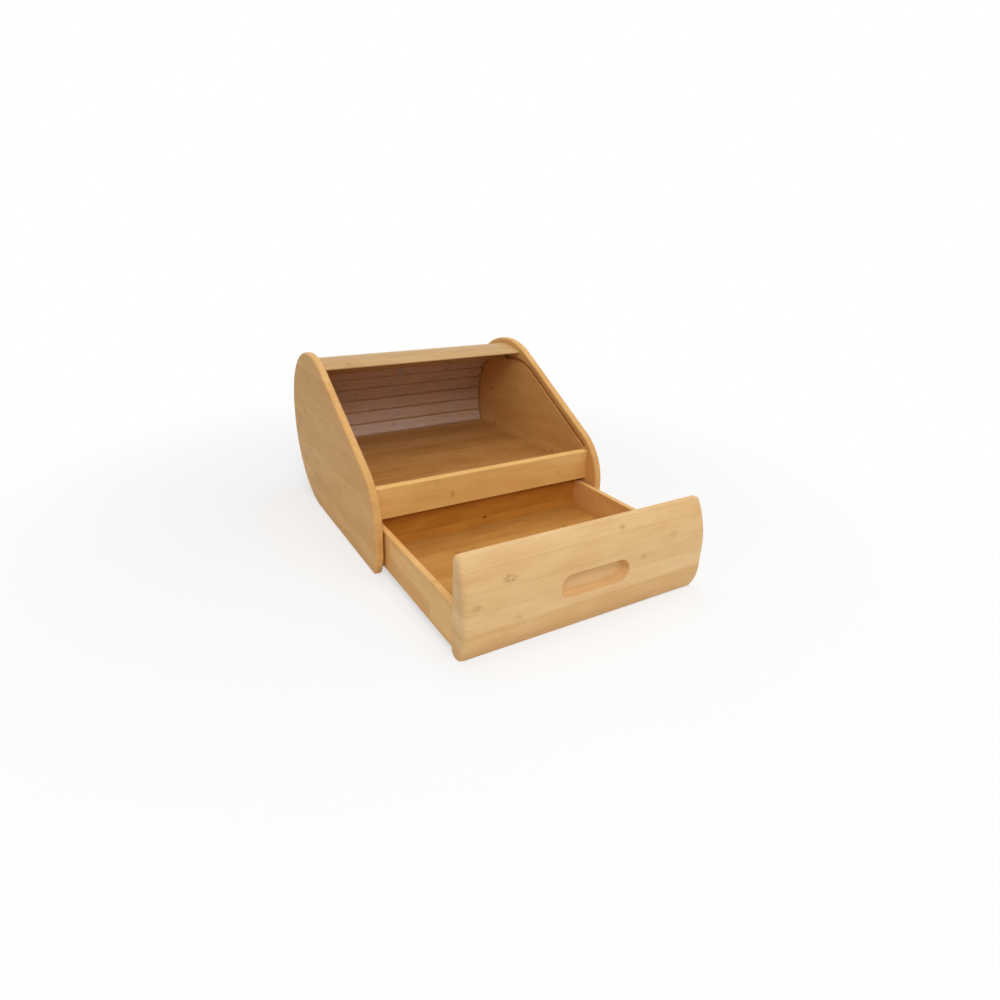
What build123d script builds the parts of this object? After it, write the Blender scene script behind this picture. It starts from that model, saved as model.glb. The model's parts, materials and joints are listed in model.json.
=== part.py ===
"""Bread box with a roll-top lid and a drawer, of laminated bamboo.

X runs across the width, Y from the front to the back and Z up. The origin is the middle
of the case's footprint, on the surface that it stands on. The lid is rolled open and the
drawer is pulled out. All sizes are millimetres and degrees.
"""
from build123d import *
import math
import os

os.makedirs("parts", exist_ok=True)

# ---- Slack in telling whether an edge lies on a face ----
TINY = 0.001

# ---- Case outline, seen from the side ----
CASE_WIDTH = 390.0
CASE_DEPTH = 395.0
CASE_HEIGHT = 263.0
SLOPE_SHARE_OF_DEPTH = 0.6232
KNEE_HEIGHT = 118.0
FRONT_FOOT_SETBACK = 10.0
FRONT_FOOT_HEIGHT = 18.0
FRONT_FOOT_RADIUS = 4.0
FRONT_BOW_RADIUS = 60.0
KNEE_RADIUS = 90.0
TOP_FRONT_RADIUS = 120.0
TOP_STRAIGHT = 1.12
BACK_STRAIGHT = 14.0

# ---- Side panels ----
PANEL_THICKNESS = 12.0
PANEL_EDGE_RADIUS = 3.0

# ---- Groove that guides the lid ----
GROOVE_WIDTH = 7.0
GROOVE_DEPTH = 5.0
GROOVE_PLAY = 0.8
GROOVE_FOOT = 48.0
TRACK_SLOPE_INSET = 11.0
TRACK_TOP_INSET = 31.0
TRACK_BACK_INSET = 20.5
TRACK_TOP_RADIUS = 120.0
TRACK_CORNER_TIGHTER = 30.0
TRACK_FOOT_TIGHTER = 18.0

# ---- Boards between the side panels ----
SKIN_INSET = 10.0
SKIN_THICKNESS = 4.0
SKIN_TO_BASE = 1.0
RAIL_BEFORE_TOP = 11.2
RAIL_DEPTH = 62.0
RAIL_THICKNESS = 4.5
RAIL_NOSE_DROP = 20.9
RAIL_NOSE_RADIUS = 0.5
HOUSING_DEPTH = 4.0
HOUSING_FIT = 0.1
BAY_FRONT_FROM_FRONT = 27.0
LEDGE_THICKNESS = 12.0
LEDGE_TOP = 119.2
LEDGE_EDGE_RADIUS = 1.5
SHELF_TOP = 85.0
SHELF_THICKNESS = 12.0
SHELF_TO_LID = 3.0
BASE_THICKNESS = 10.5
BASE_PAST_FOOT = 9.0

# ---- Dowels that join the boards ----
DOWEL_DIAMETER = 5.0
DOWEL_LENGTH = 24.0
DOWEL_IN_PANEL = 8.0
DOWEL_FIT = 0.1
DOWEL_EDGE_DISTANCE = 18.0

# ---- Drawer ----
DRAWER_OPEN = 218.0
DRAWER_SIDE_GAP = 2.5
DRAWER_FRONT_THICKNESS = 26.5
DRAWER_FRONT_TOP = 127.5
DRAWER_FRONT_LIFT = 1.0
DRAWER_BOW_RADIUS = 122.0
DRAWER_BOW_HEIGHT = 98.0
DRAWER_BOW_LEAN = 32.5
DRAWER_FRONT_HEEL_RADIUS = 9.0
DRAWER_FRONT_END_RADIUS = 6.0
DRAWER_RUNNING_GAP = 0.3
DRAWER_BACK_SPACE = 130.5
DRAWER_BOX_TOP = 66.0
DRAWER_BOARD = 8.0
DRAWER_FLOOR_TOP = 21.0
DRAWER_FLOOR_THICKNESS = 4.0
DRAWER_FLOOR_TONGUE = 4.0
FLOOR_FIT = 0.1
HANDLE_SLOT_LENGTH = 102.0
HANDLE_SLOT_HEIGHT = 30.0
HANDLE_SLOT_CENTRE = 63.7
HANDLE_SLOT_DEPTH = 12.0
HANDLE_SLOT_EDGE_RADIUS = 1.0
DRAWER_DOWEL_LENGTH = 17.0
DRAWER_DOWEL_IN_SIDE = 5.0
DRAWER_DOWEL_EDGE = 12.0
SCREW_DIAMETER = 4.0
SCREW_LENGTH = 25.0
SCREW_HEAD_DIAMETER = 7.6
SCREW_HEAD_DEPTH = 2.4
SCREW_FROM_END = 60.5
SCREW_ROW_LOW = 32.0
SCREW_ROW_PITCH = 22.0
SCREW_FIT = 0.05

# ---- Roll-top lid ----
LID_STOP_BEFORE_TOP = 14.7
LID_END_GAP = 0.4
LID_REST_GAP = 0.4
HANDLE_SLAT_DEPTH = 27.0
HANDLE_SLAT_THICKNESS = 8.0
HANDLE_SLAT_EDGE_RADIUS = 2.0
CLEAR_SLAT_COUNT = 9
CLEAR_SLAT_PITCH = 23.0
CLEAR_SLAT_THICKNESS = 2.5
CLEAR_SLAT_EDGE_RADIUS = 0.8
SLAT_GAP = 2.6
STRAP_WIDTH = 14.0
STRAP_THICKNESS = 0.4
STRAP_FROM_PANEL = 65.0

# ---- Places that follow from the sizes above ----
FRONT = -CASE_DEPTH / 2
BACK = CASE_DEPTH / 2
INNER_HALF = CASE_WIDTH / 2 - PANEL_THICKNESS
SLOPE_RUN = CASE_DEPTH * SLOPE_SHARE_OF_DEPTH
SLOPE_TAN = (CASE_HEIGHT - KNEE_HEIGHT) / SLOPE_RUN
SLOPE_ANGLE = math.atan(SLOPE_TAN)
SLOPE_COS = math.cos(SLOPE_ANGLE)
SLOPE_SIN = math.sin(SLOPE_ANGLE)
SLOPE_TOP = FRONT + SLOPE_RUN
TOP_FRONT_TANGENT = TOP_FRONT_RADIUS * math.tan(SLOPE_ANGLE / 2)
TOP_BACK_RADIUS = BACK - SLOPE_TOP - TOP_FRONT_TANGENT - TOP_STRAIGHT
BACK_FOOT_RADIUS = CASE_HEIGHT - TOP_BACK_RADIUS - BACK_STRAIGHT
TRACK_CORNER_RADIUS = TOP_BACK_RADIUS - TRACK_CORNER_TIGHTER
TRACK_BACK_RADIUS = BACK_FOOT_RADIUS - TRACK_FOOT_TIGHTER
BAY_FRONT = FRONT + BAY_FRONT_FROM_FRONT
LEDGE_BACK = BAY_FRONT + LEDGE_THICKNESS
SHELF_BOTTOM = SHELF_TOP - SHELF_THICKNESS
RAIL_FRONT = SLOPE_TOP - RAIL_BEFORE_TOP
RAIL_BACK = RAIL_FRONT + RAIL_DEPTH
RAIL_NOSE_BOTTOM = CASE_HEIGHT - RAIL_NOSE_DROP
BASE_BACK = BACK - BACK_FOOT_RADIUS + BASE_PAST_FOOT
SKIN_FOOT = BASE_BACK + SKIN_TO_BASE
DRAWER_BOX_FRONT = FRONT + DRAWER_FRONT_THICKNESS
DRAWER_BOX_BACK = BACK - DRAWER_BACK_SPACE
DRAWER_BOX_BOTTOM = BASE_THICKNESS + DRAWER_RUNNING_GAP
DRAWER_HALF = INNER_HALF - DRAWER_SIDE_GAP
DRAWER_INNER_HALF = DRAWER_HALF - DRAWER_BOARD
DRAWER_FLOOR_BOTTOM = DRAWER_FLOOR_TOP - DRAWER_FLOOR_THICKNESS
SCREW_OUT = DRAWER_HALF - SCREW_FROM_END
LID_TRAVEL = SLOPE_RUN / SLOPE_COS - LID_STOP_BEFORE_TOP
STRAP_OUT = INNER_HALF - STRAP_FROM_PANEL


def slab(profile, x_low, x_high):
    """Solid of a (Y, Z) profile between two places along X."""
    return extrude(Plane.YZ.offset(x_low) * profile, amount=x_high - x_low, dir=(1, 0, 0))


def block(x_low, x_high, y_low, y_high, z_low, z_high):
    """Box between two places along each axis."""
    centre = Pos((x_low + x_high) / 2, (y_low + y_high) / 2, (z_low + z_high) / 2)
    return centre * Box(x_high - x_low, y_high - y_low, z_high - z_low)


def region(y_low, y_high, z_low, z_high):
    """Rectangle in the (Y, Z) profile plane."""
    centre = Pos((y_low + y_high) / 2, (z_low + z_high) / 2)
    return centre * Rectangle(y_high - y_low, z_high - z_low)


def both_sides(solid):
    """The solid and its mirror image across the middle of the width."""
    return [solid, mirror(solid, about=Plane.YZ)]


def case_outline(inset=0.0):
    """Outline of a side panel, or a line that runs inside it."""
    corners = [
        (FRONT + FRONT_FOOT_SETBACK, 0),
        (FRONT, FRONT_FOOT_HEIGHT),
        (FRONT, KNEE_HEIGHT),
        (SLOPE_TOP, CASE_HEIGHT),
        (BACK, CASE_HEIGHT),
        (BACK, 0),
    ]
    radii = [FRONT_FOOT_RADIUS, FRONT_BOW_RADIUS, KNEE_RADIUS]
    radii += [TOP_FRONT_RADIUS, TOP_BACK_RADIUS, BACK_FOOT_RADIUS]
    face = make_face(FilletPolyline(*corners, radius=radii, close=True))
    if inset == 0:
        return face
    return offset(face, amount=-inset)


def lid_track(inset=0.0):
    """Middle line of the lid's path, from the closed front end up and down the back.

    An inset gives the line that runs beside it, nearer to the inside of the case.
    """
    handle_drop = HANDLE_SLAT_THICKNESS - CLEAR_SLAT_THICKNESS / 2
    start_z = LEDGE_TOP + LID_REST_GAP + (handle_drop - inset) * SLOPE_COS
    line_y = FRONT + (TRACK_SLOPE_INSET + inset) * SLOPE_SIN
    line_z = KNEE_HEIGHT - (TRACK_SLOPE_INSET + inset) * SLOPE_COS
    top_z = CASE_HEIGHT - TRACK_TOP_INSET - inset
    back_y = BACK - TRACK_BACK_INSET - inset
    low_z = BACK_FOOT_RADIUS - TRACK_BACK_RADIUS + inset
    corners = [
        (line_y + (start_z - line_z) / SLOPE_TAN, start_z),
        (line_y + (top_z - line_z) / SLOPE_TAN, top_z),
        (back_y, top_z),
        (back_y, low_z),
        (FRONT, low_z),
    ]
    radii = [TRACK_TOP_RADIUS, TRACK_CORNER_RADIUS, TRACK_BACK_RADIUS]
    return FilletPolyline(*corners, radius=[radius - inset for radius in radii])


def track_place(track, distance):
    """Point on the lid's path and its heading, at a distance from the path's start."""
    point = track.position_at(distance, position_mode=PositionMode.LENGTH)
    heading = track.tangent_at(distance, position_mode=PositionMode.LENGTH)
    return point, math.degrees(math.atan2(heading.Y, heading.X))


def slat_middle(index, front):
    """Distance along the path of a slat's middle: slat 0 is the handle slat."""
    if index == 0:
        return front + HANDLE_SLAT_DEPTH / 2
    return front + HANDLE_SLAT_DEPTH + (index - 0.5) * CLEAR_SLAT_PITCH


# ---- Case boards ----

def dowel_places():
    """(Y, Z) of the dowels in each end of every board, by the board's name."""
    shelf_z = SHELF_TOP - SHELF_THICKNESS / 2
    shelf_back = shelf_back_edge()
    base_z = BASE_THICKNESS / 2
    ledge_y = BAY_FRONT + LEDGE_THICKNESS / 2
    ledge_z = SHELF_TOP + LEDGE_THICKNESS / 2
    edge = DOWEL_EDGE_DISTANCE
    return {
        "ledge": [(ledge_y, ledge_z), (ledge_y, LEDGE_TOP - LEDGE_THICKNESS)],
        "shelf": spread(LEDGE_BACK + edge, shelf_back - edge, 3, shelf_z),
        "base": spread(BAY_FRONT + edge, BASE_BACK - edge, 3, base_z),
    }


def spread(y_low, y_high, count, z):
    """Evenly spaced (Y, Z) places in a level row."""
    step = (y_high - y_low) / (count - 1)
    return [(y_low + index * step, z) for index in range(count)]


def shelf_back_edge():
    """Back edge of the shelf, just inside the lid where that passes the shelf's top."""
    centre_y = BACK - TRACK_BACK_INSET - TRACK_BACK_RADIUS
    drop = BACK_FOOT_RADIUS - SHELF_BOTTOM
    inner_radius = TRACK_BACK_RADIUS - CLEAR_SLAT_THICKNESS / 2 - SHELF_TO_LID
    return centre_y + math.sqrt(inner_radius**2 - drop**2)


def case_dowels(board):
    """Dowels in both ends of one board."""
    middle_x = INNER_HALF + DOWEL_IN_PANEL - DOWEL_LENGTH / 2
    rod = Rot(0, 90, 0) * Cylinder(DOWEL_DIAMETER / 2, DOWEL_LENGTH)
    rods = []
    for y, z in dowel_places()[board]:
        rods += both_sides(Pos(middle_x, y, z) * rod)
    return rods


def case_dowel_holes(board):
    """Blind holes for the dowels of one board, with their clearance."""
    middle_x = INNER_HALF + DOWEL_IN_PANEL - DOWEL_LENGTH / 2
    bore = Cylinder(DOWEL_DIAMETER / 2 + DOWEL_FIT, DOWEL_LENGTH + 2 * DOWEL_FIT)
    holes = []
    for y, z in dowel_places()[board]:
        holes += both_sides(Pos(middle_x, y, z) * Rot(0, 90, 0) * bore)
    return holes


def side_panel():
    """Right side panel: rounded edges, lid groove, housings and dowel holes."""
    panel = slab(case_outline(), INNER_HALF, INNER_HALF + PANEL_THICKNESS)
    faces = panel.faces().sort_by(Axis.X)
    panel = fillet(faces[0].edges() + faces[-1].edges(), PANEL_EDGE_RADIUS)
    groove_line = lid_track((GROOVE_WIDTH - CLEAR_SLAT_THICKNESS) / 2 - GROOVE_PLAY)
    groove = slab(trace(groove_line, GROOVE_WIDTH), INNER_HALF, INNER_HALF + GROOVE_DEPTH)
    groove &= block(INNER_HALF, INNER_HALF + GROOVE_DEPTH, FRONT, BACK, GROOVE_FOOT, CASE_HEIGHT)
    panel -= groove
    for housed in (rail_profile(), skin_profile()):
        housing = offset(housed, amount=HOUSING_FIT)
        panel -= slab(housing, INNER_HALF, INNER_HALF + HOUSING_DEPTH + HOUSING_FIT)
    for board in dowel_places():
        panel -= case_dowel_holes(board)
    return panel


def rail_profile():
    """Section of the rail: its top follows the case outline, its underside is hollowed."""
    profile = case_outline(SKIN_INSET) & region(RAIL_FRONT, RAIL_BACK, RAIL_NOSE_BOTTOM, CASE_HEIGHT)
    profile -= case_outline(SKIN_INSET + RAIL_THICKNESS)
    nose = profile.vertices().sort_by(Axis.X)[:2]
    return fillet(nose, RAIL_NOSE_RADIUS)


def skin_profile():
    """Section of the bent back panel, from the rail's back edge down to the base."""
    shell = case_outline(SKIN_INSET) - case_outline(SKIN_INSET + SKIN_THICKNESS)
    upper = region(RAIL_BACK, BACK, BACK_FOOT_RADIUS, CASE_HEIGHT)
    lower = region(SKIN_FOOT, BACK, 0, BACK_FOOT_RADIUS)
    return shell & (upper + lower)


def top_rail():
    """Rail under which the lid rolls, with both ends housed in the side panels."""
    reach = INNER_HALF + HOUSING_DEPTH
    return slab(rail_profile(), -reach, reach)


def back_panel():
    """Thin bent panel that carries the rail's top surface round the back to the base."""
    reach = INNER_HALF + HOUSING_DEPTH
    return slab(skin_profile(), -reach, reach)


def front_ledge():
    """Upright board below the lid's front edge, in front of the shelf."""
    ledge = block(-INNER_HALF, INNER_HALF, BAY_FRONT, LEDGE_BACK, SHELF_BOTTOM, LEDGE_TOP)
    long_edges = ledge.edges().filter_by(Axis.X)
    ledge = fillet(long_edges.group_by(Axis.Z)[-1], LEDGE_EDGE_RADIUS)
    return ledge - case_dowel_holes("ledge")


def shelf():
    """Floor of the bread compartment, over the drawer."""
    board = block(-INNER_HALF, INNER_HALF, LEDGE_BACK, shelf_back_edge(), SHELF_BOTTOM, SHELF_TOP)
    return board - case_dowel_holes("shelf")


def base_panel():
    """Board under the drawer, on which it runs."""
    board = block(-INNER_HALF, INNER_HALF, BAY_FRONT, BASE_BACK, 0, BASE_THICKNESS)
    return board - case_dowel_holes("base")


# ---- Drawer, drawn shut ----

def drawer_dowels():
    """Dowels through the corners of the drawer box, two in each."""
    middle_x = DRAWER_INNER_HALF + DRAWER_DOWEL_IN_SIDE - DRAWER_DOWEL_LENGTH / 2
    rod = Rot(0, 90, 0) * Cylinder(DOWEL_DIAMETER / 2, DRAWER_DOWEL_LENGTH)
    return [dowel for place in drawer_dowel_places(middle_x) for dowel in both_sides(place * rod)]


def drawer_dowel_holes():
    """Blind holes for the drawer's dowels, with their clearance."""
    middle_x = DRAWER_INNER_HALF + DRAWER_DOWEL_IN_SIDE - DRAWER_DOWEL_LENGTH / 2
    bore = Cylinder(DOWEL_DIAMETER / 2 + DOWEL_FIT, DRAWER_DOWEL_LENGTH + 2 * DOWEL_FIT)
    turned = Rot(0, 90, 0) * bore
    return [hole for place in drawer_dowel_places(middle_x) for hole in both_sides(place * turned)]


def drawer_dowel_places(middle_x):
    """Places of the dowels in the right-hand corners of the drawer box."""
    rows_y = [DRAWER_BOX_FRONT + DRAWER_BOARD / 2, DRAWER_BOX_BACK - DRAWER_BOARD / 2]
    rows_z = [DRAWER_FLOOR_TOP + DRAWER_DOWEL_EDGE, DRAWER_BOX_TOP - DRAWER_DOWEL_EDGE]
    return [Pos(middle_x, y, z) for y in rows_y for z in rows_z]


def floor_groove():
    """Space of the drawer floor's edge grooves, with the floor's clearance."""
    reach = DRAWER_INNER_HALF + DRAWER_FLOOR_TONGUE + FLOOR_FIT
    inner_front = DRAWER_BOX_FRONT + DRAWER_BOARD - DRAWER_FLOOR_TONGUE - FLOOR_FIT
    inner_back = DRAWER_BOX_BACK - DRAWER_BOARD + DRAWER_FLOOR_TONGUE + FLOOR_FIT
    z_low = DRAWER_FLOOR_BOTTOM - FLOOR_FIT
    z_high = DRAWER_FLOOR_TOP + FLOOR_FIT
    return block(-reach, reach, inner_front, inner_back, z_low, z_high)


def drawer_front_profile():
    """Section of the drawer's front: flat behind, with a bow a little fuller than the panels."""
    rise = CASE_HEIGHT - DRAWER_BOW_HEIGHT
    corners = [
        (FRONT + FRONT_FOOT_SETBACK, 0),
        (FRONT, FRONT_FOOT_HEIGHT),
        (FRONT, DRAWER_BOW_HEIGHT),
        (FRONT + rise * math.tan(math.radians(DRAWER_BOW_LEAN)), CASE_HEIGHT),
    ]
    bow = FilletPolyline(*corners, radius=[FRONT_BOW_RADIUS, DRAWER_BOW_RADIUS])
    behind = Polyline(corners[-1], (BACK, CASE_HEIGHT), (BACK, 0), corners[0])
    board = region(FRONT, DRAWER_BOX_FRONT, DRAWER_FRONT_LIFT, DRAWER_FRONT_TOP)
    profile = make_face(bow + behind) & board
    heel = profile.vertices().group_by(Axis.X)[-1].sort_by(Axis.Y)[0]
    return fillet(heel, DRAWER_FRONT_HEEL_RADIUS)


def drawer_front():
    """Bowed front of the drawer, with its handle slot."""
    front = slab(drawer_front_profile(), -DRAWER_HALF, DRAWER_HALF)
    front = fillet(front.edges().filter_by(front_end), DRAWER_FRONT_END_RADIUS)
    slot_back = Plane.XZ.offset(-FRONT - HANDLE_SLOT_DEPTH) * Pos(0, HANDLE_SLOT_CENTRE)
    slot = extrude(slot_back * SlotOverall(HANDLE_SLOT_LENGTH, HANDLE_SLOT_HEIGHT), CASE_DEPTH)
    front -= slot
    front = fillet(front.edges().filter_by(slot_rim), HANDLE_SLOT_EDGE_RADIUS)
    return front - drawer_screws(SCREW_FIT)


def front_end(edge):
    """Whether an edge of the drawer front ends its bow or its top, on the left or the right."""
    middle = edge.center()
    at_end = abs(middle.X) > DRAWER_HALF - TINY
    on_bow = middle.Y < FRONT + DRAWER_FRONT_THICKNESS / 2 and middle.Z > DRAWER_FRONT_LIFT + TINY
    return at_end and (on_bow or middle.Z > DRAWER_FRONT_TOP - TINY)


def slot_rim(edge):
    """Whether an edge of the drawer front runs round the mouth of its handle slot."""
    middle = edge.center()
    in_length = abs(middle.X) <= HANDLE_SLOT_LENGTH / 2
    in_height = abs(middle.Z - HANDLE_SLOT_CENTRE) <= HANDLE_SLOT_HEIGHT / 2 + TINY
    in_front = middle.Y < FRONT + HANDLE_SLOT_DEPTH / 2
    lies_flat = edge.bounding_box().size.Y < HANDLE_SLOT_EDGE_RADIUS
    return in_length and in_height and in_front and lies_flat


def drawer_side():
    """Right side of the drawer box, with its floor groove and dowel holes."""
    board = block(DRAWER_INNER_HALF, DRAWER_HALF, DRAWER_BOX_FRONT, DRAWER_BOX_BACK,
                  DRAWER_BOX_BOTTOM, DRAWER_BOX_TOP)
    return board - floor_groove() - drawer_dowel_holes()


def drawer_cross_board(y_low):
    """Board across the drawer box, between its sides."""
    board = block(-DRAWER_INNER_HALF, DRAWER_INNER_HALF, y_low, y_low + DRAWER_BOARD,
                  DRAWER_BOX_BOTTOM, DRAWER_BOX_TOP)
    return board - floor_groove() - drawer_dowel_holes()


def drawer_floor():
    """Thin floor of the drawer, held in grooves on all four sides."""
    reach = DRAWER_INNER_HALF + DRAWER_FLOOR_TONGUE
    inner_front = DRAWER_BOX_FRONT + DRAWER_BOARD - DRAWER_FLOOR_TONGUE
    inner_back = DRAWER_BOX_BACK - DRAWER_BOARD + DRAWER_FLOOR_TONGUE
    return block(-reach, reach, inner_front, inner_back, DRAWER_FLOOR_BOTTOM, DRAWER_FLOOR_TOP)


def drawer_screws(clearance=0.0):
    """Countersunk screws through the inner front into the bowed front, or their holes."""
    inner_face = DRAWER_BOX_FRONT + DRAWER_BOARD
    shank_radius = SCREW_DIAMETER / 2 + clearance
    head_radius = SCREW_HEAD_DIAMETER / 2 + clearance
    shank = Pos(0, 0, SCREW_LENGTH / 2) * Cylinder(shank_radius, SCREW_LENGTH + clearance)
    head = Pos(0, 0, SCREW_HEAD_DEPTH / 2) * Cone(head_radius, shank_radius, SCREW_HEAD_DEPTH)
    screw = Rot(90, 0, 0) * (shank + head)
    heights = [SCREW_ROW_LOW, SCREW_ROW_LOW + SCREW_ROW_PITCH]
    return [turned for z in heights for turned in both_sides(Pos(SCREW_OUT, inner_face, z) * screw)]


# ---- Roll-top lid, rolled open ----

def slat_frame(index):
    """Place and turn of a slat in the profile plane, with the lid open."""
    point, heading = track_place(lid_track(), slat_middle(index, LID_TRAVEL))
    return Pos(point.X, point.Y) * Rot(0, 0, heading)


def handle_slat():
    """Bamboo slat at the lid's front edge, thicker towards the inside."""
    profile = Rectangle(HANDLE_SLAT_DEPTH - SLAT_GAP, HANDLE_SLAT_THICKNESS)
    profile = fillet(profile.vertices(), HANDLE_SLAT_EDGE_RADIUS)
    drop = (CLEAR_SLAT_THICKNESS - HANDLE_SLAT_THICKNESS) / 2
    return slat_solid(slat_frame(0) * Pos(0, drop) * profile)


def clear_slat(index):
    """One clear slat of the lid."""
    profile = Rectangle(CLEAR_SLAT_PITCH - SLAT_GAP, CLEAR_SLAT_THICKNESS)
    profile = fillet(profile.vertices(), CLEAR_SLAT_EDGE_RADIUS)
    return slat_solid(slat_frame(index) * profile)


def slat_solid(profile):
    """A slat's profile carried from one side panel almost to the other."""
    reach = INNER_HALF - LID_END_GAP
    return slab(profile, -reach, reach)


def strap_segments(index):
    """The stretches of the three straps that lie on one slat's outer face."""
    depth = HANDLE_SLAT_DEPTH if index == 0 else CLEAR_SLAT_PITCH
    rise = (CLEAR_SLAT_THICKNESS + STRAP_THICKNESS) / 2
    profile = slat_frame(index) * Pos(0, rise) * Rectangle(depth - SLAT_GAP, STRAP_THICKNESS)
    centres = [-STRAP_OUT, 0.0, STRAP_OUT]
    return [slab(profile, x - STRAP_WIDTH / 2, x + STRAP_WIDTH / 2) for x in centres]


def opened(piece):
    """A piece of the drawer, pulled out with it."""
    return Pos(0, -DRAWER_OPEN, 0) * piece


def save(name, *solids):
    """Write one node, as one solid or a group of separate solids."""
    shape = solids[0] if len(solids) == 1 else Compound(children=list(solids))
    export_step(shape, f"parts/{name}.step")


def build_case():
    """Side panels, boards and dowels."""
    right, left = both_sides(side_panel())
    save("right_side_panel", right)
    save("left_side_panel", left)
    save("top_rail", top_rail())
    save("back_panel", back_panel())
    save("front_ledge", front_ledge())
    save("shelf", shelf())
    save("base_panel", base_panel())
    for board in dowel_places():
        save(f"{board}_dowels", *case_dowels(board))


def build_drawer():
    """Drawer box, bowed front and what fastens them."""
    right, left = both_sides(drawer_side())
    inner_front = drawer_cross_board(DRAWER_BOX_FRONT)
    for screw in drawer_screws(SCREW_FIT):
        inner_front -= screw
    save("drawer_front", opened(drawer_front()))
    save("drawer_inner_front", opened(inner_front))
    save("drawer_right_side", opened(right))
    save("drawer_left_side", opened(left))
    save("drawer_back", opened(drawer_cross_board(DRAWER_BOX_BACK - DRAWER_BOARD)))
    save("drawer_floor", opened(drawer_floor()))
    save("drawer_dowels", *[opened(dowel) for dowel in drawer_dowels()])
    save("drawer_screws", *[opened(screw) for screw in drawer_screws()])


def build_lid():
    """Handle slat, clear slats and the straps along them."""
    save("lid_handle_slat", handle_slat())
    save("lid_straps_handle", *strap_segments(0))
    for index in range(1, CLEAR_SLAT_COUNT + 1):
        save(f"lid_clear_slat_{index}", clear_slat(index))
        save(f"lid_straps_{index}", *strap_segments(index))


build_case()
build_drawer()
build_lid()
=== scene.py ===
"""Looks of a bamboo bread box with a roll-top lid and a drawer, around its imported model."""
import json
import logging
import math
from dataclasses import dataclass
from enum import Enum
from typing import Any

import bmesh
import bpy
import numpy as np
from mathutils import Matrix, Vector

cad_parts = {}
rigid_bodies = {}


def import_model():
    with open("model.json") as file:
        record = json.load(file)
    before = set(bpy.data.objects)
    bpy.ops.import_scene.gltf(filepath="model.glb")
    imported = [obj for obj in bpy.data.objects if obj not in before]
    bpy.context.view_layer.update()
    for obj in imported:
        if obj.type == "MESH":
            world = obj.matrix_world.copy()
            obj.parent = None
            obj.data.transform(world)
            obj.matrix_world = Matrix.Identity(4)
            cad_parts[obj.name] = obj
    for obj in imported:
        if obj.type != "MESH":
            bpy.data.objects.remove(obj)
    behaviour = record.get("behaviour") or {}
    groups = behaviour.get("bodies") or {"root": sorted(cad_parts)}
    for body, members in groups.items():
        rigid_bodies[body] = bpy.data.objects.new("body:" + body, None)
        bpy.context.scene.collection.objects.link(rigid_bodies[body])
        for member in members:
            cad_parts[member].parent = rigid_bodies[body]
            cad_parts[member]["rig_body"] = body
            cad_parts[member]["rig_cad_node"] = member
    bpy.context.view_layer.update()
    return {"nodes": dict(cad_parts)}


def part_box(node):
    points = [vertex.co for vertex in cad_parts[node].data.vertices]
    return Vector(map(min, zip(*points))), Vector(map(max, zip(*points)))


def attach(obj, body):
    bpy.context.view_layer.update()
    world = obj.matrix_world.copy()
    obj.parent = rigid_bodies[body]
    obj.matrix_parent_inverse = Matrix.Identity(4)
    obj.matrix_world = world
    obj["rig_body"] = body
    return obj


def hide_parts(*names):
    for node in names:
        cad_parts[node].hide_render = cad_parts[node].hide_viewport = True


LOG = logging.getLogger("bread_box")
MM = 0.001

# Cycles per metre of the bamboo's patterns, along a board, across it and through it.
FIBRE_CYCLES = (9.0, 620.0, 620.0)
PATCH_CYCLES = (16.0, 66.0, 16.0)
BURST_CYCLES = (170.0, 480.0)

# The first keeps strip numbers above zero, the others set neighbouring strips apart.
STRIP_OFFSET = 40.37
STRIP_STAGGER = 9.0
KNUCKLE_STAGGER = 17.0

# A scattered knuckle's half length, and how much narrower it is than its strip's half.
KNUCKLE_REACH = 8 * MM
KNUCKLE_NARROWER = 2.6
SPOT_CORE = 0.15
BURST_COVER = 0.75

# The glue line is drawn wider than a real one so that it shows.
SEAM_WIDTH = 0.5 * MM
SEAM_SOFTNESS = 0.012
SEAM_COVER = 0.14

# Most of Blender's noise lies between these two values.
NOISE_LOW = 0.3
NOISE_HIGH = 0.7

FINE_RELIEF = 0.1 * MM


def linear(hex_colour: str) -> tuple[float, float, float, float]:
    """Turn an sRGB hex colour into a linear one.

    Args:
        hex_colour: six hex digits, with or without a leading hash.

    Returns:
        Linear red, green, blue and an alpha of one.
    """
    digits = hex_colour.lstrip("#")
    parts = [int(digits[start:start + 2], 16) / 255 for start in (0, 2, 4)]
    tones = [p / 12.92 if p <= 0.04045 else ((p + 0.055) / 1.055) ** 2.4 for p in parts]
    return (*tones, 1.0)


def add_node(tree: bpy.types.NodeTree, kind: str, inputs: dict[Any, Any] | None = None,
             **settings: Any) -> bpy.types.Node:
    """Add a shader node with its settings, values and links.

    Args:
        tree: node tree that gets the node.
        kind: Blender's type name of the node.
        inputs: for an input's name or index, a value or the socket that feeds it.
        settings: attributes of the node.

    Returns:
        The new node.
    """
    node = tree.nodes.new(kind)
    for name, value in settings.items():
        setattr(node, name, value)
    for key, value in (inputs or {}).items():
        socket = node.inputs[key]
        if isinstance(value, bpy.types.NodeSocket):
            tree.links.new(value, socket)
        else:
            socket.default_value = value
    return node


def blended(tree: bpy.types.NodeTree, operation: str, first: Any,
            second: Any = 0.0) -> bpy.types.NodeSocket:
    """Combine two values by an arithmetic operation, or change one.

    Args:
        tree: node tree that gets the node.
        operation: Blender's name of the operation.
        first: a number or the socket that feeds it.
        second: a number or the socket that feeds it, for an operation on two values.

    Returns:
        The result's socket.
    """
    return add_node(tree, "ShaderNodeMath", {0: first, 1: second}, operation=operation).outputs[0]


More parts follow.
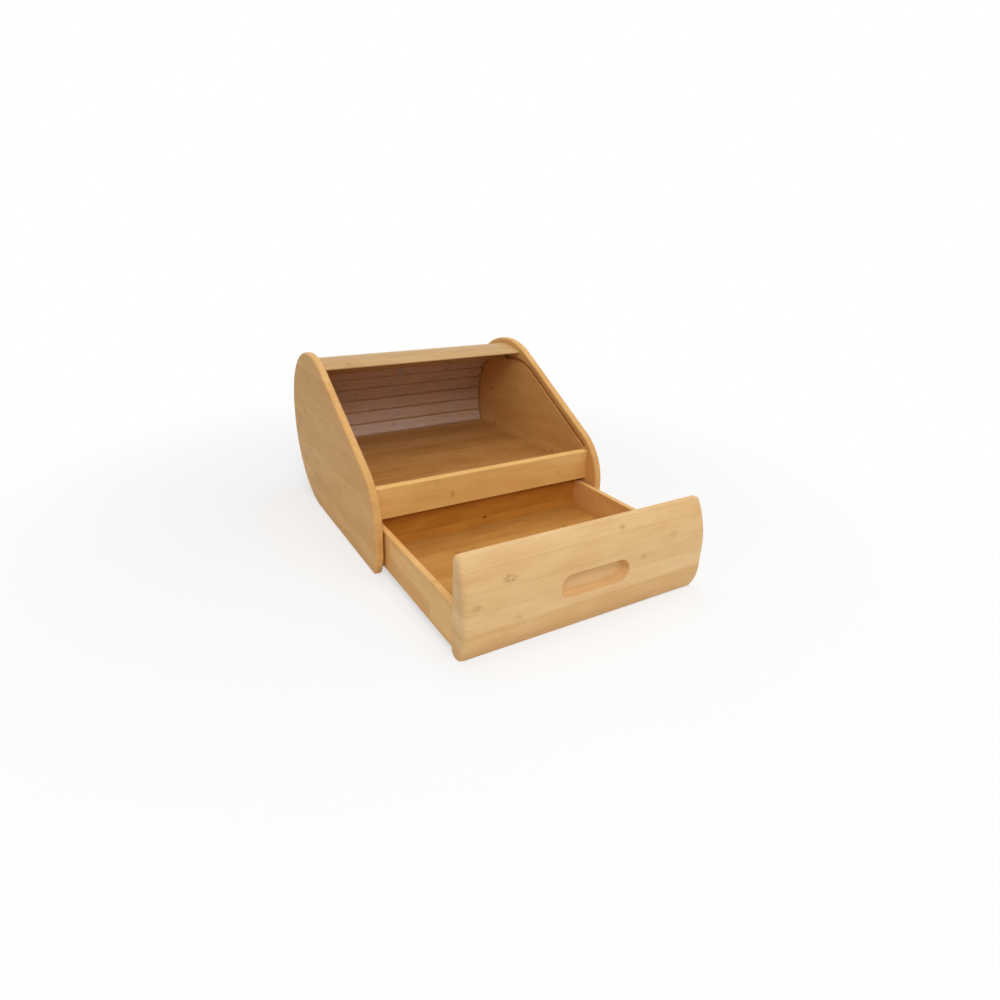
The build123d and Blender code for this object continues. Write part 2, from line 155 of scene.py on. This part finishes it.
def mixed(tree: bpy.types.NodeTree, share: Any, first: Any,
          second: Any) -> bpy.types.NodeSocket:
    """Mix two colours.

    Args:
        tree: node tree that gets the node.
        share: the second colour's share, as a number or a socket.
        first: a linear colour or the socket that feeds it.
        second: a linear colour or the socket that feeds it.

    Returns:
        The mixed colour's socket.
    """
    # A mix node's inputs 6 and 7 and its output 2 are the ones for colours.
    node = add_node(tree, "ShaderNodeMix", {0: share, 6: first, 7: second}, data_type="RGBA")
    return node.outputs[2]


def new_material(name: str) -> tuple[bpy.types.Material, bpy.types.NodeTree]:
    """Make an empty node material.

    Args:
        name: the material's name.

    Returns:
        The material and its cleared node tree.
    """
    material = bpy.data.materials.new(name)
    material.use_nodes = True
    material.node_tree.nodes.clear()
    return material, material.node_tree


def assign(obj: bpy.types.Object, *materials: bpy.types.Material) -> None:
    """Give an object these materials, in the order of its slots."""
    obj.data.materials.clear()
    for material in materials:
        obj.data.materials.append(material)


class Direction(Enum):
    """Axis that a bamboo strip's length or width follows on a piece."""

    X = "X"
    Y = "Y"
    Z = "Z"
    AROUND = "AROUND"


@dataclass(frozen=True)
class Mark:
    """One knuckle, or a spot of painted shade for a hole, at a chosen place on a board, in metres
    along and across the grain.
    """

    along: float
    across: float
    strength: float = 1.0
    length: float = 15 * MM
    width: float = 12 * MM


@dataclass(frozen=True)
class BambooFinish:
    """Laminated moso bamboo, sanded and sealed with a satin lacquer.

    The eye sees strips glued edge to edge, each a little off the next in tone, long fine
    fibres, and here and there a knuckle, where fibres part round the cane's planed joint.
    """

    name: str
    pale: str
    deep: str
    knuckle: str
    grain: Direction
    across: Direction
    strip_width: float = 22 * MM
    strip_length: float = 640 * MM
    knuckle_spacing: float = 190 * MM
    knuckle_share: float = 0.6
    seed: float = 0.0
    roughness: float = 0.46
    contrast: float = 0.55
    # Strips below this height are deeper in tone, as at the foot of the drawer's front.
    deeper_below: float = -1.0
    bend_centre: tuple[float, float] = (0.0, 0.0)
    bend_radius: float = 110 * MM
    marks: tuple[Mark, ...] = ()
    # Painted shade: dark spots, in the colour below, where a hole in the board is in shade.
    hole_shade_spots: tuple[Mark, ...] = ()
    hole_shade_colour: str = "#3E1604"

    def build(self) -> bpy.types.Material:
        """Build the material.

        Returns:
            The finished bamboo material.
        """
        material, tree = new_material(self.name)
        along, across, through = self._directions(tree)
        strip, place, tone = self._strips(tree, along, across)
        fibre = self._fibres(tree, along, across, through)
        if self.marks:
            reach = self._placed(tree, self.marks, along, across)
        else:
            reach = self._scattered(tree, along, strip, place)
        burst = self._bursts(tree, along, across, reach)
        seam = self._seams(tree, place)
        cloud = self._clouds(tree, along, across, through)
        foot = blended(tree, "LESS_THAN", across, self.deeper_below)
        tone = blended(tree, "ADD", tone, foot)
        colour = self._colour(tree, tone, fibre, cloud, burst, seam)
        # Painted shade: these spots darken the board where a hole in it is in shade.
        if self.hole_shade_spots:
            spot = self._placed(tree, self.hole_shade_spots, along, across)
            colour = mixed(tree, spot, colour, linear(self.hole_shade_colour))
        relief = blended(tree, "ADD", blended(tree, "MULTIPLY", fibre, 0.5), burst)
        bump = add_node(tree, "ShaderNodeBump", {
            "Strength": 0.3, "Distance": FINE_RELIEF, "Height": relief})
        rough = add_node(tree, "ShaderNodeMapRange", {
            "Value": fibre, "To Min": self.roughness - 0.05, "To Max": self.roughness + 0.09})
        shader = add_node(tree, "ShaderNodeBsdfPrincipled", {
            "Base Color": colour, "Roughness": rough.outputs[0], "Normal": bump.outputs[0],
            "Specular IOR Level": 0.22, "Coat Weight": 0.04, "Coat Roughness": 0.32})
        add_node(tree, "ShaderNodeOutputMaterial", {"Surface": shader.outputs[0]})
        return material

    def _directions(self, tree: bpy.types.NodeTree) -> tuple[bpy.types.NodeSocket, ...]:
        """Read places along the strips, across them and through the board, in metres.

        Args:
            tree: the material's node tree.

        Returns:
            Sockets along, across and through.
        """
        coords = add_node(tree, "ShaderNodeTexCoord")
        parts = add_node(tree, "ShaderNodeSeparateXYZ", {0: coords.outputs["Object"]})
        sockets = dict(zip("XYZ", parts.outputs))
        along = sockets[self.grain.value]
        if self.across is Direction.AROUND:
            rise = blended(tree, "SUBTRACT", sockets["Z"], self.bend_centre[1])
            reach = blended(tree, "SUBTRACT", sockets["Y"], self.bend_centre[0])
            turn = blended(tree, "ARCTAN2", rise, reach)
            return along, blended(tree, "MULTIPLY", turn, self.bend_radius), sockets["Z"]
        left = next(axis for axis in "XYZ" if axis not in (self.grain.value, self.across.value))
        return along, sockets[self.across.value], sockets[left]

    def _strips(self, tree: bpy.types.NodeTree, along: bpy.types.NodeSocket,
                across: bpy.types.NodeSocket) -> tuple[bpy.types.NodeSocket, ...]:
        """Number the strips and give each length of strip its own tone.

        Args:
            tree: the material's node tree.
            along: place along the strips.
            across: place across the strips.

        Returns:
            The strip's random number, the place across it from 0 to 1, and its tone.
        """
        offset = self.seed + STRIP_OFFSET
        count = blended(tree, "ADD", blended(tree, "DIVIDE", across, self.strip_width), offset)
        index = blended(tree, "FLOOR", count)
        place = blended(tree, "FRACT", count)
        number = add_node(tree, "ShaderNodeTexWhiteNoise", {"W": index}, noise_dimensions="1D")
        shift = blended(tree, "MULTIPLY", number.outputs["Value"], STRIP_STAGGER)
        run = blended(tree, "ADD", blended(tree, "DIVIDE", along, self.strip_length), shift)
        length = blended(tree, "FLOOR", run)
        pair = add_node(tree, "ShaderNodeCombineXYZ", {0: index, 1: length})
        tone = add_node(tree, "ShaderNodeTexWhiteNoise", {"Vector": pair.outputs[0]},
                        noise_dimensions="2D")
        return number.outputs["Value"], place, tone.outputs["Value"]

    def _stretched(self, tree: bpy.types.NodeTree, places: tuple[bpy.types.NodeSocket, ...],
                   cycles: tuple[float, ...]) -> bpy.types.NodeSocket:
        """Turn places on the board into a pattern's own coordinates.

        Args:
            tree: the material's node tree.
            places: places along, across and perhaps through the board.
            cycles: the pattern's cycles per metre in each of these directions.

        Returns:
            The pattern's coordinates.
        """
        parts = {index: blended(tree, "MULTIPLY", place, count)
                 for index, (place, count) in enumerate(zip(places, cycles))}
        return add_node(tree, "ShaderNodeCombineXYZ", parts).outputs[0]

    def _fibres(self, tree: bpy.types.NodeTree, along: bpy.types.NodeSocket,
                across: bpy.types.NodeSocket,
                through: bpy.types.NodeSocket) -> bpy.types.NodeSocket:
        """Draw the long fibres, about 1 mm wide so that they show, and 100 mm long.

        Args:
            tree: the material's node tree.
            along: place along the strips.
            across: place across the strips.
            through: place through the board.

        Returns:
            Fibre darkness from 0 to 1.
        """
        places = self._stretched(tree, (along, across, through), FIBRE_CYCLES)
        streaks = add_node(tree, "ShaderNodeTexNoise", {
            "Vector": places, "Scale": 1.0, "Detail": 3.0, "Roughness": 0.6})
        return streaks.outputs[0]

    def _clouds(self, tree: bpy.types.NodeTree, along: bpy.types.NodeSocket,
                across: bpy.types.NodeSocket,
                through: bpy.types.NodeSocket) -> bpy.types.NodeSocket:
        """Draw the slow drift of tone along a strip, in patches of about 60 by 15 mm.

        Args:
            tree: the material's node tree.
            along: place along the strips.
            across: place across the strips.
            through: place through the board.

        Returns:
            Patch darkness from 0 to 1.
        """
        places = self._stretched(tree, (along, across, through), PATCH_CYCLES)
        patches = add_node(tree, "ShaderNodeTexNoise", {
            "Vector": places, "Scale": 1.0, "Detail": 2.0})
        return patches.outputs[0]

    def _spot(self, tree: bpy.types.NodeTree, off_along: bpy.types.NodeSocket,
              off_across: bpy.types.NodeSocket, strength: float) -> bpy.types.NodeSocket:
        """Draw one soft spot.

        Args:
            tree: the material's node tree.
            off_along: distance from its middle along the grain, in spot radii.
            off_across: distance from its middle across the grain, in spot radii.
            strength: its strength in the middle.

        Returns:
            The spot's strength, which falls to 0 at one radius.
        """
        place = add_node(tree, "ShaderNodeCombineXYZ", {0: off_along, 1: off_across})
        reach = add_node(tree, "ShaderNodeVectorMath", {0: place.outputs[0]}, operation="LENGTH")
        near = add_node(tree, "ShaderNodeMapRange", {
            "Value": reach.outputs["Value"], "From Min": SPOT_CORE, "From Max": 1.0,
            "To Min": strength, "To Max": 0.0}, interpolation_type="SMOOTHSTEP")
        return near.outputs[0]

    def _placed(self, tree: bpy.types.NodeTree, marks: tuple[Mark, ...],
                along: bpy.types.NodeSocket,
                across: bpy.types.NodeSocket) -> bpy.types.NodeSocket:
        """Draw soft spots at chosen places.

        Args:
            tree: the material's node tree.
            marks: the spots.
            along: place along the strips.
            across: place across the strips.

        Returns:
            Nearness to a spot from 0 to 1.
        """
        spots = []
        for mark in marks:
            off_along = blended(tree, "SUBTRACT", along, mark.along)
            off_across = blended(tree, "SUBTRACT", across, mark.across)
            off_along = blended(tree, "DIVIDE", off_along, mark.length / 2)
            off_across = blended(tree, "DIVIDE", off_across, mark.width / 2)
            spots.append(self._spot(tree, off_along, off_across, mark.strength))
        nearest = spots[0]
        for spot in spots[1:]:
            nearest = blended(tree, "MAXIMUM", nearest, spot)
        return nearest

    def _scattered(self, tree: bpy.types.NodeTree, along: bpy.types.NodeSocket,
                   strip: bpy.types.NodeSocket,
                   place: bpy.types.NodeSocket) -> bpy.types.NodeSocket:
        """Scatter knuckles along every strip, each strip at its own offset.

        Args:
            tree: the material's node tree.
            along: place along the strips.
            strip: the strip's random number.
            place: place across the strip from 0 to 1.

        Returns:
            Nearness to a knuckle from 0 to 1.
        """
        run = blended(tree, "ADD", blended(tree, "DIVIDE", along, self.knuckle_spacing),
                      blended(tree, "MULTIPLY", strip, KNUCKLE_STAGGER))
        phase = blended(tree, "SUBTRACT", blended(tree, "FRACT", run), 0.5)
        off_along = blended(tree, "MULTIPLY", phase, self.knuckle_spacing / KNUCKLE_REACH)
        off_middle = blended(tree, "SUBTRACT", place, 0.5)
        off_across = blended(tree, "MULTIPLY", off_middle, KNUCKLE_NARROWER)
        near = self._spot(tree, off_along, off_across, 1.0)
        number = blended(tree, "FLOOR", run)
        key = add_node(tree, "ShaderNodeCombineXYZ", {0: number, 1: strip})
        chance = add_node(tree, "ShaderNodeTexWhiteNoise", {"Vector": key.outputs[0]},
                          noise_dimensions="2D")
        kept = add_node(tree, "ShaderNodeMapRange", {
            "Value": chance.outputs["Value"], "From Min": 1 - self.knuckle_share,
            "From Max": 1.0, "To Min": 0.0, "To Max": 1.0})
        return blended(tree, "MULTIPLY", near, kept.outputs[0])

    def _bursts(self, tree: bpy.types.NodeTree, along: bpy.types.NodeSocket,
                across: bpy.types.NodeSocket,
                reach: bpy.types.NodeSocket) -> bpy.types.NodeSocket:
        """Draw a knuckle's short dark fibres, 2 mm apart, that part and bend round it.

        Args:
            tree: the material's node tree.
            along: place along the strips.
            across: place across the strips.
            reach: nearness to a knuckle.

        Returns:
            Mark strength from 0 to 1.
        """
        ragged = add_node(tree, "ShaderNodeTexNoise", {
            "Vector": self._stretched(tree, (along, across), BURST_CYCLES),
            "Scale": 1.0, "Detail": 2.5, "Distortion": 1.4})
        dark = add_node(tree, "ShaderNodeMapRange", {
            "Value": ragged.outputs[0], "From Min": 0.44, "From Max": 0.62,
            "To Min": 0.12, "To Max": 1.0})
        return blended(tree, "MULTIPLY", dark.outputs[0], reach)

    def _seams(self, tree: bpy.types.NodeTree,
               place: bpy.types.NodeSocket) -> bpy.types.NodeSocket:
        """Draw the glue line between strips, 0.5 mm wide so that it shows.

        Args:
            tree: the material's node tree.
            place: place across the strip from 0 to 1.

        Returns:
            Glue line strength from 0 to 1.
        """
        off_middle = blended(tree, "ABSOLUTE", blended(tree, "SUBTRACT", place, 0.5))
        line = 0.5 - SEAM_WIDTH / 2 / self.strip_width
        edge = add_node(tree, "ShaderNodeMapRange", {
            "Value": off_middle, "From Min": line - SEAM_SOFTNESS, "From Max": line,
            "To Min": 0.0, "To Max": 1.0})
        return edge.outputs[0]

    def _colour(self, tree: bpy.types.NodeTree, tone: bpy.types.NodeSocket,
                fibre: bpy.types.NodeSocket, cloud: bpy.types.NodeSocket,
                burst: bpy.types.NodeSocket,
                seam: bpy.types.NodeSocket) -> bpy.types.NodeSocket:
        """Mix the strip's tone with fibres, slow patches, knuckles and glue lines.

        Args:
            tree: the material's node tree.
            tone: the strip's tone from 0 to 1.
            fibre: fibre darkness.
            cloud: patch darkness.
            burst: knuckle strength.
            seam: glue line strength.

        Returns:
            The colour socket.
        """
        fine = add_node(tree, "ShaderNodeMapRange", {
            "Value": fibre, "From Min": NOISE_LOW, "From Max": NOISE_HIGH,
            "To Min": -0.12, "To Max": 0.2})
        slow = add_node(tree, "ShaderNodeMapRange", {
            "Value": cloud, "From Min": NOISE_LOW, "From Max": NOISE_HIGH,
            "To Min": 0.0, "To Max": 0.45})
        shade = blended(tree, "ADD", blended(tree, "MULTIPLY", tone, self.contrast),
                        blended(tree, "ADD", fine.outputs[0], slow.outputs[0]))
        board = mixed(tree, shade, linear(self.pale), linear(self.deep))
        knuckle = linear(self.knuckle)
        marked = mixed(tree, blended(tree, "MULTIPLY", burst, BURST_COVER), board, knuckle)
        return mixed(tree, blended(tree, "MULTIPLY", seam, SEAM_COVER), marked, knuckle)


@dataclass(frozen=True)
class ClearFinish:
    """Clear plastic strip, extruded: a faint haze and soft gloss over what lies behind."""

    name: str
    tint: str
    cover: float
    roughness: float
    ior: float = 1.49
    haze_size: float = 14 * MM

    def build(self) -> bpy.types.Material:
        """Build the material, with fine extrusion lines in its gloss.

        Returns:
            The finished clear material.
        """
        material, tree = new_material(self.name)
        coords = add_node(tree, "ShaderNodeTexCoord")
        drawn = add_node(tree, "ShaderNodeMapping", {
            "Vector": coords.outputs["Object"], "Scale": (0.12, 1.0, 1.0)})
        haze = add_node(tree, "ShaderNodeTexNoise", {
            "Vector": drawn.outputs[0], "Scale": 1 / self.haze_size, "Detail": 2.0})
        cover = add_node(tree, "ShaderNodeMapRange", {
            "Value": haze.outputs[0], "From Min": NOISE_LOW, "From Max": NOISE_HIGH,
            "To Min": self.cover * 0.85, "To Max": self.cover * 1.15})
        rough = add_node(tree, "ShaderNodeMapRange", {
            "Value": haze.outputs[0], "To Min": self.roughness * 0.7,
            "To Max": self.roughness * 1.3})
        bump = add_node(tree, "ShaderNodeBump", {
            "Strength": 0.12, "Distance": FINE_RELIEF, "Height": haze.outputs[0]})
        shader = add_node(tree, "ShaderNodeBsdfPrincipled", {
            "Base Color": linear(self.tint), "Roughness": rough.outputs[0],
            "Normal": bump.outputs[0], "Alpha": cover.outputs[0], "IOR": self.ior})
        add_node(tree, "ShaderNodeOutputMaterial", {"Surface": shader.outputs[0]})
        return material


@dataclass(frozen=True)
class ScrewFinish:
    """Zinc plated steel, bright with a faint turned sheen."""

    name: str = "zinc_plated_steel"
    colour: str = "#B9B7AE"
    roughness: float = 0.34
    swirl: float = 0.5 * MM

    def build(self) -> bpy.types.Material:
        """Build the material.

        Returns:
            The finished metal material.
        """
        material, tree = new_material(self.name)
        coords = add_node(tree, "ShaderNodeTexCoord")
        grain = add_node(tree, "ShaderNodeTexNoise", {
            "Vector": coords.outputs["Object"], "Scale": 1 / self.swirl, "Detail": 2.0})
        rough = add_node(tree, "ShaderNodeMapRange", {
            "Value": grain.outputs[0], "To Min": self.roughness - 0.08,
            "To Max": self.roughness + 0.08})
        shader = add_node(tree, "ShaderNodeBsdfPrincipled", {
            "Base Color": linear(self.colour), "Metallic": 1.0, "Roughness": rough.outputs[0]})
        add_node(tree, "ShaderNodeOutputMaterial", {"Surface": shader.outputs[0]})
        return material


# Knuckles that show on the drawer's front, by place across it and height.
FRONT_MARKS = (
    Mark(-121 * MM, 95 * MM, 1.0, 26 * MM, 12 * MM),
    Mark(-165 * MM, 72 * MM, 0.8, 16 * MM, 12 * MM),
    Mark(-110 * MM, 45 * MM, 0.5, 20 * MM, 10 * MM),
    Mark(44 * MM, 116 * MM, 0.6, 14 * MM, 12 * MM),
    Mark(124 * MM, 93 * MM, 0.55, 16 * MM, 12 * MM),
    Mark(73 * MM, 75 * MM, 0.5, 14 * MM, 10 * MM),
)


@dataclass
class Case:
    """Side panels and the boards between them."""

    side: BambooFinish = BambooFinish(
        "bamboo_side_panels", "#E4B36F", "#D29A55", "#8C5C2A", Direction.Y, Direction.Z, seed=3.0,
        contrast=0.45)
    level: BambooFinish = BambooFinish(
        "bamboo_level_boards", "#B9854D", "#9C682F", "#6A3E14", Direction.X, Direction.Y, seed=11.0)
    ledge: BambooFinish = BambooFinish(
        "bamboo_ledge", "#F0C378", "#DDA65A", "#8C5C26", Direction.X, Direction.Z, seed=21.0)
    rail: BambooFinish = BambooFinish(
        "bamboo_rail", "#CDA976", "#BC925C", "#83511F", Direction.X, Direction.Y, seed=29.0)
    skin_bend: float = 118 * MM

    def dress(self, nodes: dict[str, bpy.types.Object]) -> None:
        """Give each case board its bamboo.

        Args:
            nodes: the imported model's objects by node name.
        """
        _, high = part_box("back_panel")
        skin = BambooFinish(
            "bamboo_back_panel", "#D8AA76", "#BE8E5C", "#83572C", Direction.X, Direction.AROUND,
            seed=37.0, bend_centre=(high.y - self.skin_bend, high.z - self.skin_bend),
            bend_radius=self.skin_bend)
        boards = {
            self.side: ["left_side_panel", "right_side_panel"],
            self.level: ["shelf", "base_panel", "shelf_dowels", "base_dowels", "ledge_dowels"],
            self.ledge: ["front_ledge"],
            self.rail: ["top_rail"],
            skin: ["back_panel"],
        }
        for finish, names in boards.items():
            material = finish.build()
            for name in names:
                assign(nodes[name], material)
                LOG.info("case board %s in %s", name, finish.name)


@dataclass
class Drawer:
    """Drawer box, its bowed front and its screws."""

    front: BambooFinish = BambooFinish(
        "bamboo_drawer_front", "#EFCA95", "#DBAD70", "#7C4A1C", Direction.X, Direction.Z,
        strip_width=24 * MM, seed=5.0, contrast=0.4, deeper_below=38 * MM, marks=FRONT_MARKS)
    side: BambooFinish = BambooFinish(
        "bamboo_drawer_sides", "#EEC07C", "#DDA660", "#8A5A26", Direction.Y, Direction.Z, seed=8.0)
    # The end boards carry one spot of painted shade, in the middle, for a hole that is in shade.
    cross: BambooFinish = BambooFinish(
        "bamboo_drawer_ends", "#D2943E", "#AF7124", "#5C2E0C", Direction.X, Direction.Z, seed=14.0,
        hole_shade_spots=(Mark(0.0, 35 * MM, 0.9, 10 * MM, 6 * MM),))
    floor: BambooFinish = BambooFinish(
        "bamboo_drawer_floor", "#CC964E", "#B47C38", "#6E3F14", Direction.X, Direction.Y, seed=17.0)
    screw: ScrewFinish = ScrewFinish()

    def dress(self, nodes: dict[str, bpy.types.Object]) -> None:
        """Give each drawer piece its finish.

        Args:
            nodes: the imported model's objects by node name.
        """
        pieces = {
            self.front: ["drawer_front"],
            self.side: ["drawer_left_side", "drawer_right_side"],
            self.cross: ["drawer_inner_front", "drawer_back", "drawer_dowels"],
            self.floor: ["drawer_floor"],
            self.screw: ["drawer_screws"],
        }
        for finish, names in pieces.items():
            material = finish.build()
            for name in names:
                assign(nodes[name], material)
                LOG.info("drawer piece %s in %s", name, finish.name)


@dataclass
class Lid:
    """Roll-top lid: a bamboo handle slat, clear slats and the straps along them."""

    handle: BambooFinish = BambooFinish(
        "bamboo_handle_slat", "#B9854D", "#9C682F", "#7A4C20", Direction.X, Direction.Y, seed=33.0)
    face: ClearFinish = ClearFinish("clear_acrylic_face", "#F0D3BE", 0.34, 0.12)
    # Painted highlight: the slats' cut edges get a pale, nearly opaque cover in place of the light
    # they catch.
    edge: ClearFinish = ClearFinish("clear_acrylic_edge_painted_highlight", "#FFEBD8", 0.90, 0.30)
    strap: ClearFinish = ClearFinish("clear_strap", "#F2DCCB", 0.36, 0.35)
    edge_share: float = 0.5

    def dress(self, nodes: dict[str, bpy.types.Object]) -> None:
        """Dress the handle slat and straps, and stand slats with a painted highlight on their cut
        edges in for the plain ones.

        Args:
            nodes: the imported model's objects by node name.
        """
        assign(nodes["lid_handle_slat"], self.handle.build())
        strap = self.strap.build()
        face = self.face.build()
        edge = self.edge.build()
        for name, node in nodes.items():
            if name.startswith("lid_straps"):
                assign(node, strap)
            if name.startswith("lid_clear_slat"):
                self._slat_with_painted_highlight(node, face, edge)

    def _slat_with_painted_highlight(self, node: bpy.types.Object, face: bpy.types.Material,
                       edge: bpy.types.Material) -> bpy.types.Object:
        """Make a clear slat whose long cut edges catch more light than its faces.

        Args:
            node: the plain slat.
            face: material of the broad faces.
            edge: material of the cut edges and ends, with the painted highlight.

        Returns:
            The slat's visible piece.
        """
        mesh = bpy.data.meshes.new(f"polished_{node.name}")
        form = bmesh.new()
        form.from_mesh(node.data)
        bmesh.ops.remove_doubles(form, verts=form.verts, dist=0.001 * MM)
        bmesh.ops.dissolve_limit(form, angle_limit=math.radians(2), verts=form.verts,
                                 edges=form.edges)
        places = np.array([vert.co[1:] for vert in form.verts])
        spread = np.cov((places - places.mean(axis=0)).T)
        _, axes = np.linalg.eigh(spread)
        thickness = Vector((0.0, *axes[:, 0]))
        # Faces across the slat's thickness get the painted highlight.
        for patch in form.faces:
            is_edge = abs(patch.normal.dot(thickness)) < self.edge_share
            patch.material_index = 1 if is_edge else 0
        form.to_mesh(mesh)
        form.free()
        piece = bpy.data.objects.new(f"polished_{node.name}", mesh)
        bpy.context.scene.collection.objects.link(piece)
        assign(piece, face, edge)
        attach(piece, node["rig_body"])
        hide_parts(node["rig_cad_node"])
        LOG.info("clear slat %s", piece.name)
        return piece


@dataclass(frozen=True)
class Lamp:
    """One soft square lamp: its place in metres, side length and power in watts."""

    name: str
    place: tuple[float, float, float]
    size: float
    power: float


@dataclass
class Studio:
    """Pale floor, soft lamps, white surround and the camera."""

    # The camera is the one that was fitted to the edges in the photo.
    focal: float = 21.93
    sensor: float = 36.0
    shift: tuple[float, float] = (0.055, -0.03)
    place: tuple[float, float, float] = (-0.4530, -0.88646, 0.44278)
    yaw: float = 27.76
    pitch: float = 21.13
    roll: float = 0.54
    floor_size: float = 12.0
    near_glow: float = 0.6
    glow_from: float = 0.25
    white_from: float = 0.95
    lamps: tuple[Lamp, ...] = (
        Lamp("key", (-0.55, -1.6, 1.9), 1.1, 21.0),
        Lamp("fill", (1.5, -1.2, 1.3), 1.6, 6.0),
        Lamp("top", (0.1, 0.2, 2.0), 1.4, 13.0),
    )
    aim: tuple[float, float, float] = (0.0, -0.05, 0.1)
    ambient: float = 0.36

    def build(self) -> None:
        """Build the floor, the surround, the lamps and the camera."""
        self._floor()
        self._surround()
        for lamp in self.lamps:
            self._hang(lamp)
        self._camera()

    def _floor(self) -> None:
        """Lay a matt white floor that keeps the object's shadow."""
        form = bmesh.new()
        bmesh.ops.create_grid(form, x_segments=1, y_segments=1, size=self.floor_size / 2)
        mesh = bpy.data.meshes.new("studio_floor")
        form.to_mesh(mesh)
        form.free()
        floor = bpy.data.objects.new("studio_floor", mesh)
        bpy.context.scene.collection.objects.link(floor)
        material, tree = new_material("studio_white")
        coords = add_node(tree, "ShaderNodeTexCoord")
        mottle = add_node(tree, "ShaderNodeTexNoise", {
            "Vector": coords.outputs["Object"], "Scale": 3.0})
        tone = mixed(tree, mottle.outputs[0], linear("#F7F7F6"), linear("#F4F4F3"))
        matt = add_node(tree, "ShaderNodeBsdfDiffuse", {"Color": tone})
        glow = add_node(tree, "ShaderNodeEmission", {"Color": linear("#FFFFFF"), "Strength": 1.0})
        path = add_node(tree, "ShaderNodeLightPath")
        away = add_node(tree, "ShaderNodeVectorMath", {0: coords.outputs["Object"]},
                        operation="LENGTH")
        share = add_node(tree, "ShaderNodeMapRange", {
            "Value": away.outputs["Value"], "From Min": self.glow_from, "From Max": self.white_from,
            "To Min": self.near_glow, "To Max": 1.0}, interpolation_type="SMOOTHSTEP")
        seen = blended(tree, "MULTIPLY", path.outputs["Is Camera Ray"], share.outputs[0])
        both = add_node(tree, "ShaderNodeMixShader", {
            0: seen, 1: matt.outputs[0], 2: glow.outputs[0]})
        add_node(tree, "ShaderNodeOutputMaterial", {"Surface": both.outputs[0]})
        assign(floor, material)

    def _surround(self) -> None:
        """White surround for the camera, gloss and clear pieces, softer for the light."""
        world = bpy.data.worlds.new("studio_surround")
        world.use_nodes = True
        tree = world.node_tree
        tree.nodes.clear()
        path = add_node(tree, "ShaderNodeLightPath")
        seen = blended(tree, "MAXIMUM", path.outputs["Is Camera Ray"],
                       path.outputs["Is Glossy Ray"])
        through = blended(tree, "MAXIMUM", seen, path.outputs["Is Transmission Ray"])
        strength = add_node(tree, "ShaderNodeMapRange", {
            "Value": through, "To Min": self.ambient, "To Max": 1.0})
        sky = add_node(tree, "ShaderNodeBackground", {
            "Color": linear("#FFFFFF"), "Strength": strength.outputs[0]})
        add_node(tree, "ShaderNodeOutputWorld", {"Surface": sky.outputs[0]})
        bpy.context.scene.world = world

    def _hang(self, lamp: Lamp) -> None:
        """Hang one lamp so that it faces the object.

        Args:
            lamp: the lamp.
        """
        light = bpy.data.lights.new(lamp.name, "AREA")
        light.shape = "SQUARE"
        light.size = lamp.size
        light.energy = lamp.power
        holder = bpy.data.objects.new(lamp.name, light)
        place = Vector(lamp.place)
        turn = (Vector(self.aim) - place).to_track_quat("-Z", "Y").to_matrix().to_4x4()
        holder.matrix_world = Matrix.Translation(place) @ turn
        bpy.context.scene.collection.objects.link(holder)

    def _camera(self) -> None:
        """Stand the camera where the photographed view puts it."""
        yaw, pitch, roll = (math.radians(a) for a in (self.yaw, self.pitch, self.roll))
        ahead = Vector((math.sin(yaw) * math.cos(pitch), math.cos(yaw) * math.cos(pitch),
                        -math.sin(pitch)))
        level = Vector((math.cos(yaw), -math.sin(yaw), 0.0))
        upright = level.cross(ahead)
        right = level * math.cos(roll) + upright * math.sin(roll)
        upward = upright * math.cos(roll) - level * math.sin(roll)
        turn = Matrix((right, upward, -ahead)).transposed().to_4x4()
        lens = bpy.data.cameras.new("studio_camera")
        lens.lens = self.focal
        lens.sensor_width = self.sensor
        lens.shift_x, lens.shift_y = self.shift
        lens.clip_start = 0.01
        camera = bpy.data.objects.new("studio_camera", lens)
        camera.matrix_world = Matrix.Translation(Vector(self.place)) @ turn
        bpy.context.scene.collection.objects.link(camera)
        bpy.context.scene.camera = camera


def main() -> None:
    """Build the studio and dress each sub-assembly of the bread box."""
    logging.basicConfig(level=logging.INFO, format="%(message)s")
    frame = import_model()
    nodes = frame["nodes"]
    Studio().build()
    Case().dress(nodes)
    Drawer().dress(nodes)
    Lid().dress(nodes)
    bpy.context.scene.view_settings.view_transform = "Standard"


if __name__ == "__main__":
    main()
